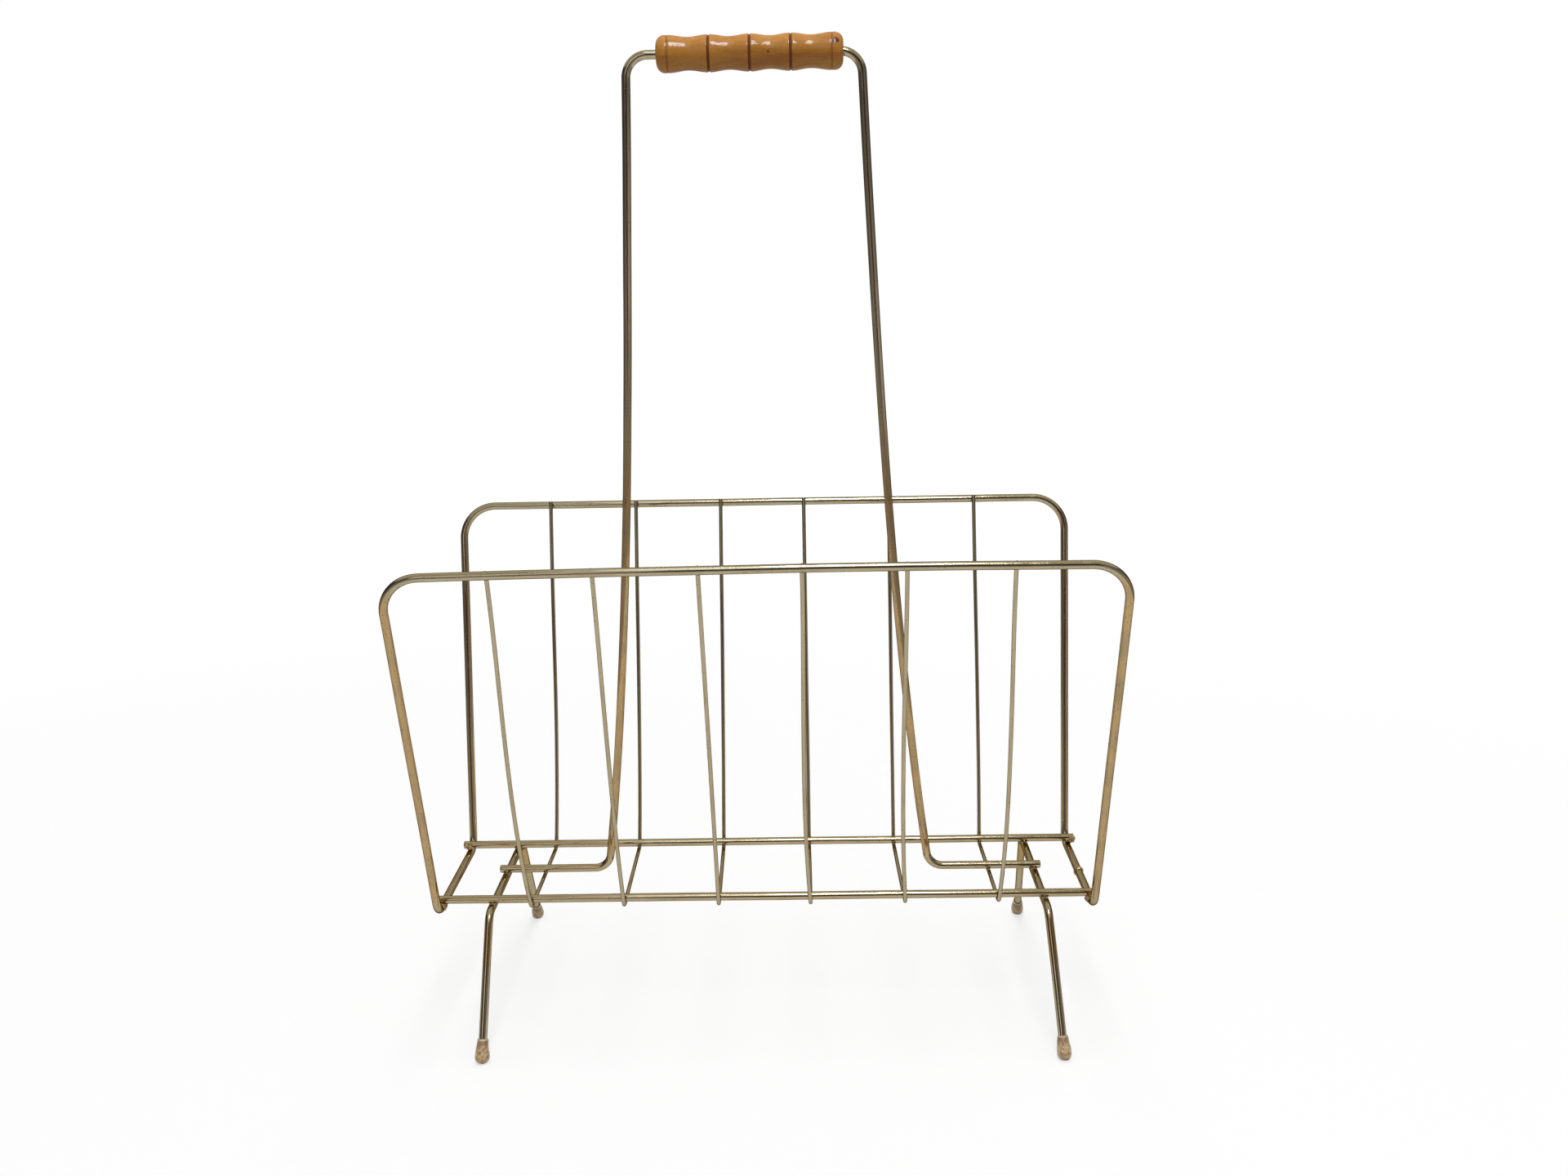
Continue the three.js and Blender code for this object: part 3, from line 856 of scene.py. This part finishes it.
@cache
def worn_metal_group():
    """Specks, dull blotches and fine relief of worn metal"""
    inputs = {"Speck Scale": 900.0, "Speck Amount": 0.3, "Blotch Scale": 60.0}
    group, given, out = new_group("Worn Metal", inputs, ("Specks", "Blotches", "Height"))
    vector = given["Vector"]
    cells = add(group, "ShaderNodeTexVoronoi", {"Vector": vector, "Scale": given["Speck Scale"]})
    core = ramp(group, cells.outputs["Distance"], 0.34, 0.1)
    where = noise_node(group, vector, scale=150, detail=2)
    threshold = maths(group, "SUBTRACT", 1.0, given["Speck Amount"])
    chosen = add(group, "ShaderNodeSeparateColor", {"Color": cells.outputs["Color"]}).outputs["Red"]
    lively = maths(group, "ADD", chosen, maths(group, "SUBTRACT", where, 0.5))
    specks = times(group, core, maths(group, "GREATER_THAN", lively, threshold))
    cloudy = noise_node(group, vector, given["Blotch Scale"], detail=5, roughness=0.6)
    blotches = ramp(group, cloudy, 0.38, 0.66)
    fine = noise_node(group, vector, scale=1500, detail=2)
    height = maths(group, "SUBTRACT", times(group, fine, 0.3), specks)
    feed(group, out, {"Specks": specks, "Blotches": blotches, "Height": height})
    return group


@cache
def grime_group():
    """Soft patches of grime that gather in places"""
    group, given, out = new_group("Grime", {"Scale": 250.0, "Amount": 0.4}, ("Grime",))
    patches = noise_node(group, given["Vector"], given["Scale"], detail=5, roughness=0.65)
    start = maths(group, "SUBTRACT", 0.85, times(group, given["Amount"], 0.5))
    end = maths(group, "ADD", start, 0.14)
    feed(group, out, {"Grime": ramp(group, patches, start, end)})
    return group


def worn_metal(tree, place, specks, amount, blotches):
    inputs = {"Vector": place, "Speck Scale": specks, "Speck Amount": amount, "Blotch Scale": blotches}
    return add(tree, "ShaderNodeGroup", inputs, node_tree=worn_metal_group()).outputs


def grime(tree, place, scale, amount):
    inputs = {"Vector": place, "Scale": scale, "Amount": amount}
    return add(tree, "ShaderNodeGroup", inputs, node_tree=grime_group()).outputs["Grime"]


def emptied_tree(owner):
    owner.use_nodes = True
    owner.node_tree.nodes.clear()
    return owner.node_tree


def new_material(name):
    """A material with its tree, its shader and the rest coordinates of the piece"""
    material = bpy.data.materials.new(name)
    tree = emptied_tree(material)
    shader = add(tree, "ShaderNodeBsdfPrincipled")
    add(tree, "ShaderNodeOutputMaterial", {"Surface": shader.outputs["BSDF"]})
    return material, tree, shader, object_place(tree)


def relief(tree, height, strength, distance):
    inputs = {"Height": height, "Strength": strength, "Distance": distance}
    return add(tree, "ShaderNodeBump", inputs).outputs["Normal"]


# What the plating mirrors at a glancing angle, where it is darkest
EDGE_TINT = (0.16, 0.13, 0.1, 1)


@cache
def plating():
    """Worn brass plating, dulled in blotches, specked with brown and burnt at the welds"""
    material, tree, shader, place = new_material("worn_brass_plating")
    pit_depth = 0.05 * MM
    worn = worn_metal(tree, place, specks=950, amount=0.2, blotches=70)
    patches = grime(tree, place, scale=320, amount=0.42)
    ragged = noise_node(tree, place, scale=700)
    burnt = ramp(tree, raised(tree, stored(tree, "heat"), ragged, 0.7), 0.9, 1.4)
    drawn = noise_node(tree, stored(tree, "grain", "Vector"), scale=1100, detail=4, roughness=0.6)
    streaks = ramp(tree, drawn, 0.42, 0.68)
    uneven = noise_node(tree, place, scale=40, detail=4)
    worn_grey = ramp(tree, raised(tree, stored(tree, "wear"), uneven, 0.4), 0.15, 1.2)
    base = layered(tree, colour("gold"), (
        (worn["Blotches"], "olive"),
        (worn_grey, "pewter"),
        (times(tree, streaks, 0.22), "speck"),
        (times(tree, patches, 0.4), "speck"),
        (worn["Specks"], "speck"),
        (burnt, "burnt"),
    ))
    dull = maths(tree, "MAXIMUM", worn["Specks"], burnt)
    patchy = ramp(tree, maths(tree, "ADD", worn["Blotches"], streaks), 0.0, 2.0, least=0.09, most=0.2)
    scored = maths(tree, "SUBTRACT", worn["Height"], times(tree, streaks, 0.3))
    feed(tree, shader, {
        "Base Color": base,
        "Metallic": between(tree, dull, 1.0, 0.55),
        "Roughness": raised(tree, patchy, dull, 0.3),
        "Specular Tint": EDGE_TINT,
        "Normal": relief(tree, scored, strength=0.2, distance=pit_depth),
    })
    return material


@cache
def cut_steel():
    """Bare cut end of a wire, grey and scored by the cutter"""
    material, tree, shader, place = new_material("cut_steel_end")
    score_depth = 0.15 * MM
    worn = worn_metal(tree, place, specks=1600, amount=0.4, blotches=500)
    base = layered(tree, colour("steel"), ((worn["Blotches"], "olive"), (worn["Specks"], "speck")))
    feed(tree, shader, {
        "Base Color": base,
        "Metallic": 0.9,
        "Roughness": between(tree, worn["Blotches"], 0.4, 0.6),
        "Normal": relief(tree, worn["Height"], strength=0.8, distance=score_depth),
    })
    return material


@cache
def weld_metal():
    """Dark rough metal of a spot weld, with brown burnt patches"""
    material, tree, shader, place = new_material("burnt_weld_metal")
    pit_depth = 0.2 * MM
    worn = worn_metal(tree, place, specks=1500, amount=0.4, blotches=420)
    golden = between(tree, worn["Blotches"], 0.45, 1.0)
    feed(tree, shader, {
        "Base Color": layered(tree, colour("burnt"), ((golden, "gold"), (worn["Specks"], "speck"))),
        "Metallic": 0.85,
        "Roughness": between(tree, worn["Blotches"], 0.5, 0.3),
        "Normal": relief(tree, worn["Height"], strength=1.0, distance=pit_depth),
    })
    return material


# Where the flecks of paint lie from the middle of the grip, and their radii, in millimetres
FLECKS = (((10.1, -9, -0.5), 1.3), ((45.9, -8.4, 4.3), 2.6))


def fleck_mask(tree, place, offset, radius):
    """1 within a ragged spot on the grip, else 0"""
    reach = radius * MM
    spot = Vector((GRIP_MIDDLE, 0, HANDLE_HEIGHT)) + Vector(offset) * MM
    away = add(tree, "ShaderNodeVectorMath", {0: place, 1: spot}, operation="DISTANCE").outputs["Value"]
    torn = raised(tree, away, noise_node(tree, place, scale=1200), reach)
    return ramp(tree, torn, reach * 1.35, reach * 0.9)


@cache
def lacquered_wood():
    """Orange-brown turned wood under glossy lacquer, with dark stain in its grooves"""
    material, tree, shader, place = new_material("lacquered_turned_wood")
    ripple_depth = 0.3 * MM
    stretch_share = 0.12
    stretched = {"Vector": place, "Scale": (stretch_share, 1, 1)}
    grain = add(tree, "ShaderNodeMapping", stretched).outputs["Vector"]
    fibres = noise_node(tree, grain, scale=900, detail=4, roughness=0.7)
    dark = ramp(tree, raised(tree, noise_node(tree, grain, scale=120), fibres, 0.5), 0.6, 1.0)
    ragged = raised(tree, stored(tree, "groove"), noise_node(tree, place, scale=500), 0.3)
    groove = ramp(tree, ragged, 0.08, 0.6)
    soiled = grime(tree, place, scale=130, amount=0.35)
    ripple = raised(tree, noise_node(tree, grain, scale=160, detail=2), fibres, 0.15)
    base = layered(tree, colour("wood"), (
        (dark, "wood_dark"),
        (times(tree, soiled, 0.5), "wood_dark"),
        (groove, "groove"),
        *((fleck_mask(tree, place, *fleck), "fleck") for fleck in FLECKS),
    ))
    feed(tree, shader, {
        "Base Color": base,
        "Roughness": ramp(tree, fibres, 0.3, 0.7, least=0.4, most=0.55),
        "Specular IOR Level": 0.04,
        "Coat Weight": between(tree, groove, 0.32, 0.06),
        "Coat Roughness": 0.025,
        "Normal": relief(tree, ripple, strength=0.12, distance=ripple_depth),
    })
    return material


@cache
def aged_plastic():
    """Cream plastic gone yellow, with brown dirt in patches and specks, and painted shade along its very bottom
    where it meets the floor
    """
    material, tree, shader, place = new_material("aged_cream_plastic")
    # Heights between which the painted shade at a cap's floor contact fades out
    contact_shade_top, contact_shade_bottom = 1.8 * MM, 0.3 * MM
    rear = 80 * MM
    dent_depth = 0.6 * MM
    worn = worn_metal(tree, place, specks=800, amount=0.35, blotches=300)
    apart = add(tree, "ShaderNodeSeparateXYZ", {"Vector": place}).outputs
    # Painted shade: the cap grows darker towards its bottom edge on the floor
    floor_contact_shade = ramp(tree, apart["Z"], contact_shade_top, contact_shade_bottom)
    soiled = grime(tree, place, scale=380, amount=0.6)
    towards_rear = ramp(tree, apart["Y"], 0.0, rear, most=0.8)
    aged = maths(tree, "MAXIMUM", times(tree, worn["Blotches"], 0.5), towards_rear)
    rise = stored(tree, "rise")
    mottle = noise_node(tree, place, scale=520, roughness=0.6)
    dented = raised(tree, mottle, worn["Height"], 0.2)
    base = layered(tree, colour("cream"), (
        (aged, "yellowed"),
        (ramp(tree, mottle, 0.5, 0.66, most=0.75), "stain"),
        (ramp(tree, mottle, 0.47, 0.35), "lip"),
        (ramp(tree, raised(tree, rise, worn["Blotches"], 0.12), 0.45, 0.85, most=0.75), "stain"),
        (ramp(tree, raised(tree, rise, mottle, -0.16), 0.8, 0.86), "lip"),
        # Real dirt in patches, and painted shade along the bottom where the cap meets the floor
        (maths(tree, "MAXIMUM", times(tree, soiled, 0.55), floor_contact_shade), "dirt_and_contact_shade"),
        (times(tree, worn["Specks"], 0.8), "dirt_and_contact_shade"),
    ))
    feed(tree, shader, {
        "Base Color": base,
        "Roughness": between(tree, worn["Blotches"], 0.2, 0.38),
        "Normal": relief(tree, dented, strength=0.8, distance=dent_depth),
    })
    return material


# The stage: a white floor and world, a softbox, cards that the metal mirrors, and the camera
WHITE = (1, 1, 1, 1)
PHOTO_WIDTH_PX = 1920
FOCAL_PX = 1700
SENSOR_WIDTH_MM = 36
EYE = Vector((25.3, -788.8, 452.75)) * MM
YAW = math.radians(0.8246)
PITCH = math.radians(-14.041)
ROLL = math.radians(-1.0647)


def build_camera():
    heading = Vector((-math.sin(YAW) * math.cos(PITCH), math.cos(YAW) * math.cos(PITCH), math.sin(PITCH)))
    level = Vector((math.cos(YAW), math.sin(YAW), 0))
    above = level.cross(heading)
    right = level * math.cos(ROLL) + above * math.sin(ROLL)
    up = above * math.cos(ROLL) - level * math.sin(ROLL)
    lens = bpy.data.cameras.new("photo_camera")
    lens.sensor_fit = "HORIZONTAL"
    lens.sensor_width = SENSOR_WIDTH_MM
    lens.lens = FOCAL_PX / PHOTO_WIDTH_PX * SENSOR_WIDTH_MM
    camera = new_object("photo_camera", lens)
    turn = Matrix((right, up, -heading)).transposed()
    camera.matrix_world = Matrix.Translation(EYE) @ turn.to_4x4()
    bpy.context.scene.camera = camera


def seen_by_mirrors(tree):
    """1 for rays from the camera and for mirrored or refracted ones, else 0"""
    path = add(tree, "ShaderNodeLightPath").outputs
    seen = maths(tree, "MAXIMUM", path["Is Camera Ray"], path["Is Glossy Ray"])
    return maths(tree, "MAXIMUM", seen, path["Is Transmission Ray"])


def build_world():
    world = bpy.data.worlds.new("white_studio")
    bpy.context.scene.world = world
    tree = emptied_tree(world)
    fill = 0.45
    strength = between(tree, seen_by_mirrors(tree), fill, 1.0)
    back = add(tree, "ShaderNodeBackground", {"Color": WHITE, "Strength": strength})
    add(tree, "ShaderNodeOutputWorld", {"Surface": back.outputs["Background"]})


FLOOR_SPAN = (-12, 12)
FLOOR_GREY = (0.45, 0.45, 0.45, 1)

# Two distances from the rack, and how far the floor's own glow lifts it to white at each
LIFT_NEAR = (0.3, 0.6)
LIFT_FAR = (2.5, 0.87)


def flat_mesh(name, x_span, y_span, height):
    (left, right), (front, rear) = x_span, y_span
    corners = [(left, front, height), (right, front, height), (right, rear, height), (left, rear, height)]
    return new_mesh(name, corners, [(0, 1, 2, 3)])


def build_floor():
    """A pale floor that looks white to the camera and to mirrored rays and still takes the rack's shadow"""
    mesh = flat_mesh("studio_floor", FLOOR_SPAN, FLOOR_SPAN, 0)
    material = bpy.data.materials.new("pale_floor")
    tree = emptied_tree(material)
    matt = add(tree, "ShaderNodeBsdfDiffuse", {"Color": FLOOR_GREY})
    away = add(tree, "ShaderNodeVectorMath", {0: object_place(tree)}, operation="LENGTH").outputs["Value"]
    (near, near_lift), (far, far_lift) = LIFT_NEAR, LIFT_FAR
    lift = times(tree, seen_by_mirrors(tree), ramp(tree, away, near, far, near_lift, far_lift))
    glow = add(tree, "ShaderNodeEmission", {"Color": WHITE, "Strength": lift})
    both = add(tree, "ShaderNodeAddShader", {0: matt.outputs["BSDF"], 1: glow.outputs["Emission"]})
    add(tree, "ShaderNodeOutputMaterial", {"Surface": both.outputs["Shader"]})
    mesh.materials.append(material)
    floor = new_object("studio_floor", mesh)


SOFTBOX_WIDTH = 0.55
SOFTBOX_LENGTH = 2.7
SOFTBOX_WATTS = 21
SOFTBOX_PLACE = (0.07, -0.2, 1.9)


def build_softbox():
    """The lamp overhead. The wires mirror the diffuser in front of it instead."""
    lamp = bpy.data.lights.new("softbox", "AREA")
    lamp.shape = "RECTANGLE"
    lamp.size = SOFTBOX_WIDTH
    lamp.size_y = SOFTBOX_LENGTH
    lamp.energy = SOFTBOX_WATTS
    box = new_object("softbox", lamp)
    box.location = SOFTBOX_PLACE
    box.visible_glossy = False


# Cards round the rack that only its mirrored rays meet
PALE_TINT = (1, 0.97, 1, 1)
WARM_TINT = (1, 0.93, 1, 1)
CREAM_TINT = (1, 0.97, 0.84, 1)
BROWN_TINT = (1, 0.7, 0.5, 1)
LAMP_TINT = (0.74, 0.82, 0.91, 1)
WALL_DISTANCE = 4.0
WALL_HEIGHT = 2.6

# Heights between which a wall fades, and how much of its glow is left at each
WALL_FADE = (0.25, 0.9, 1.0, 0.4)

# Each wall runs from one angle to another, in degrees clockwise from the camera's side
# After the angles come its glow, its tint and its fade
WALL_SPANS = (
    (-180, -145, 0.85, PALE_TINT, None),
    (-145, -60, 0.2, WARM_TINT, WALL_FADE),
    (-60, -12, 0.34, WARM_TINT, WALL_FADE),
    (-12, 24, 0.12, BROWN_TINT, WALL_FADE),
    (24, 88, 0.6, WARM_TINT, WALL_FADE),
    (88, 145, 0.36, PALE_TINT, WALL_FADE),
    (145, 180, 0.85, PALE_TINT, None),
)

# Each ring runs from one angle to another and from one distance to another, with its glow
FLOOR_RINGS = (
    (-135, 135, 0.82, 1.6, 0.46),
    (-135, 135, 1.6, 4.0, 0.36),
    (135, 225, 0.82, 4.0, 0.8),
)
CEILING_SPANS = ((-4.0, -0.4, 0.55), (-0.4, 4.0, 0.78))
WINDOW_ANGLES = (-30, -8)
WINDOW_RISE = (16, 38)
WINDOW_STANDOFF = 0.3
WINDOW_TONE = 1.2
DIFFUSER_SPAN = ((-0.37, 0.39), (-2.4, -0.2))
DIFFUSER_TONE = 2.35
PANE_ANGLES = (1, 7, 13, 19)
PANE_RISES = (51, 63)
PANE_DISTANCE = 1.2
PANE_WIDTH = 0.05
PANE_LENGTH = 0.24
PANE_TONE = 46
CARD_STEP = 4


def build_card(mesh, tint, tone, fade=None):
    """A glowing card that only mirrored rays meet. It may fade from one height to another."""
    material = bpy.data.materials.new(mesh.name + "_tone")
    tree = emptied_tree(material)
    strength = tone
    if fade:
        height = add(tree, "ShaderNodeSeparateXYZ", {"Vector": object_place(tree)}).outputs["Z"]
        strength = times(tree, ramp(tree, height, *fade), tone)
    glow = add(tree, "ShaderNodeEmission", {"Color": tint, "Strength": strength})
    add(tree, "ShaderNodeOutputMaterial", {"Surface": glow.outputs["Emission"]})
    mesh.materials.append(material)
    card = new_object(mesh.name, mesh)
    card.visible_camera = False
    card.visible_diffuse = False
    card.visible_transmission = False
    card.visible_shadow = False


def facing(angle, elevation=0.0):
    """The direction at an angle clockwise from the camera's side and at an elevation"""
    flat = math.cos(elevation)
    return Vector((math.sin(angle) * flat, -math.cos(angle) * flat, math.sin(elevation)))


def strip_mesh(name, start, end, *edges):
    """A strip of card from one angle to another, between two edges, each a distance and a height"""
    count = max(1, round(abs(end - start) / CARD_STEP))
    vertices = []
    for k in range(count + 1):
        angle = math.radians(start + (end - start) * k / count)
        vertices += [facing(angle) * distance + UP * height for distance, height in edges]
    return new_mesh(name, vertices, [(2 * k, 2 * k + 2, 2 * k + 3, 2 * k + 1) for k in range(count)])


def build_walls():
    edges = ((WALL_DISTANCE, 0), (WALL_DISTANCE, WALL_HEIGHT))
    for i, (start, end, tone, tint, fade) in enumerate(WALL_SPANS, start=1):
        build_card(strip_mesh(f"studio_wall_{i}", start, end, *edges), tint, tone, fade)


def build_window():
    """A bright window high on the left, in front of the walls"""
    distance = WALL_DISTANCE - WINDOW_STANDOFF
    rises = [math.radians(rise) for rise in WINDOW_RISE]
    edges = [(distance * math.cos(rise), distance * math.sin(rise)) for rise in rises]
    build_card(strip_mesh("studio_window", *WINDOW_ANGLES, *edges), PALE_TINT, WINDOW_TONE)


def build_room_floor():
    """The darker floor of the room round the white one"""
    lift = MM
    for i, (start, end, inner, outer, tone) in enumerate(FLOOR_RINGS, start=1):
        ring = strip_mesh(f"studio_room_floor_{i}", start, end, (inner, lift), (outer, lift))
        build_card(ring, PALE_TINT, tone)


def build_ceiling():
    wide = (-WALL_DISTANCE, WALL_DISTANCE)
    for i, (front, rear, tone) in enumerate(CEILING_SPANS, start=1):
        card = flat_mesh(f"studio_ceiling_{i}", wide, (front, rear), WALL_HEIGHT)
        build_card(card, CREAM_TINT, tone)


def build_diffuser():
    card = flat_mesh("studio_diffuser", *DIFFUSER_SPAN, SOFTBOX_PLACE[Z])
    build_card(card, LAMP_TINT, DIFFUSER_TONE)


def build_panes():
    """Small bright panes overhead in front, which the lacquer of the grip mirrors"""
    centre = Vector((0, 0, HANDLE_HEIGHT))
    angles = [(angle, rise) for rise in PANE_RISES for angle in PANE_ANGLES]
    for i, (angle, elevation) in enumerate(angles, start=1):
        out = facing(math.radians(angle), math.radians(elevation))
        across = UP.cross(out).normalized() * PANE_WIDTH / 2
        rise = out.cross(across).normalized() * PANE_LENGTH / 2
        at = centre + out * PANE_DISTANCE
        corners = [at - across - rise, at + across - rise, at + across + rise, at - across + rise]
        build_card(new_mesh(f"studio_pane_{i}", corners, [(0, 1, 2, 3)]), LAMP_TINT, PANE_TONE)


class RACK_OT_basket_loop(bpy.types.Operator):
    """Bend the wire of both hoops and both cross bars"""

    bl_idname = "rack.basket_loop"
    bl_label = "Basket Loop"

    def execute(self, context):
        build_basket_loop()
        return {"FINISHED"}


class RACK_OT_rails(bpy.types.Operator):
    """Lay the two rails on the cross bars"""

    bl_idname = "rack.rails"
    bl_label = "Rails"

    def execute(self, context):
        build_rails()
        return {"FINISHED"}


class RACK_OT_ribs(bpy.types.Operator):
    """Bend the thin ribs of both walls and the floor"""

    bl_idname = "rack.ribs"
    bl_label = "Ribs"

    def execute(self, context):
        build_ribs()
        return {"FINISHED"}


class RACK_OT_leg_frames(bpy.types.Operator):
    """Bend the two leg frames"""

    bl_idname = "rack.leg_frames"
    bl_label = "Leg Frames"

    def execute(self, context):
        build_leg_frames()
        return {"FINISHED"}


class RACK_OT_handle(bpy.types.Operator):
    """Bend the wire of the tall handle"""

    bl_idname = "rack.handle"
    bl_label = "Handle"

    def execute(self, context):
        build_handle()
        return {"FINISHED"}


class RACK_OT_grip(bpy.types.Operator):
    """Turn the wooden grip"""

    bl_idname = "rack.grip"
    bl_label = "Grip"

    def execute(self, context):
        build_grip()
        return {"FINISHED"}


class RACK_OT_foot_caps(bpy.types.Operator):
    """Mould the four foot caps"""

    bl_idname = "rack.foot_caps"
    bl_label = "Foot Caps"

    def execute(self, context):
        build_foot_caps()
        return {"FINISHED"}


class RACK_OT_welds(bpy.types.Operator):
    """Set a weld bead wherever two wires are joined"""

    bl_idname = "rack.welds"
    bl_label = "Weld Beads"

    def execute(self, context):
        build_welds()
        return {"FINISHED"}


class RACK_OT_stage(bpy.types.Operator):
    """Set up the floor, the light and the camera"""

    bl_idname = "rack.stage"
    bl_label = "Stage"

    def execute(self, context):
        build_world()
        build_floor()
        build_softbox()
        build_walls()
        build_window()
        build_room_floor()
        build_ceiling()
        build_diffuser()
        build_panes()
        build_camera()
        context.scene.view_settings.view_transform = "Standard"
        return {"FINISHED"}


class RACK_PT_panel(bpy.types.Panel):
    """Lists the sizes, the colours and the steps that build the rack"""

    bl_idname = "RACK_PT_panel"
    bl_label = "Magazine Rack"
    bl_space_type = "VIEW_3D"
    bl_region_type = "UI"
    bl_category = "Magazine Rack"

    def draw(self, context):
        layout = self.layout
        for group in (context.scene.rack_sizes, context.scene.rack_colours):
            for name in group.__annotations__:
                layout.prop(group, name)
        for operator in OPERATORS:
            layout.operator(operator.bl_idname)


OPERATORS = (
    RACK_OT_basket_loop,
    RACK_OT_rails,
    RACK_OT_ribs,
    RACK_OT_leg_frames,
    RACK_OT_handle,
    RACK_OT_grip,
    RACK_OT_foot_caps,
    RACK_OT_welds,
    RACK_OT_stage,
)
CLASSES = (RackSizes, RackColours, *OPERATORS, RACK_PT_panel)


def register():
    for cls in CLASSES:
        bpy.utils.register_class(cls)
    bpy.types.Scene.rack_sizes = PointerProperty(type=RackSizes)
    bpy.types.Scene.rack_colours = PointerProperty(type=RackColours)


def unregister():
    del bpy.types.Scene.rack_colours
    del bpy.types.Scene.rack_sizes
    for cls in reversed(CLASSES):
        bpy.utils.unregister_class(cls)


def main():
    noise.seed_set(NOISE_SEED)
    register()
    bpy.ops.rack.basket_loop()
    bpy.ops.rack.rails()
    bpy.ops.rack.ribs()
    bpy.ops.rack.leg_frames()
    bpy.ops.rack.handle()
    bpy.ops.rack.grip()
    bpy.ops.rack.foot_caps()
    bpy.ops.rack.welds()
    bpy.ops.rack.stage()


if __name__ == "__main__":
    main()
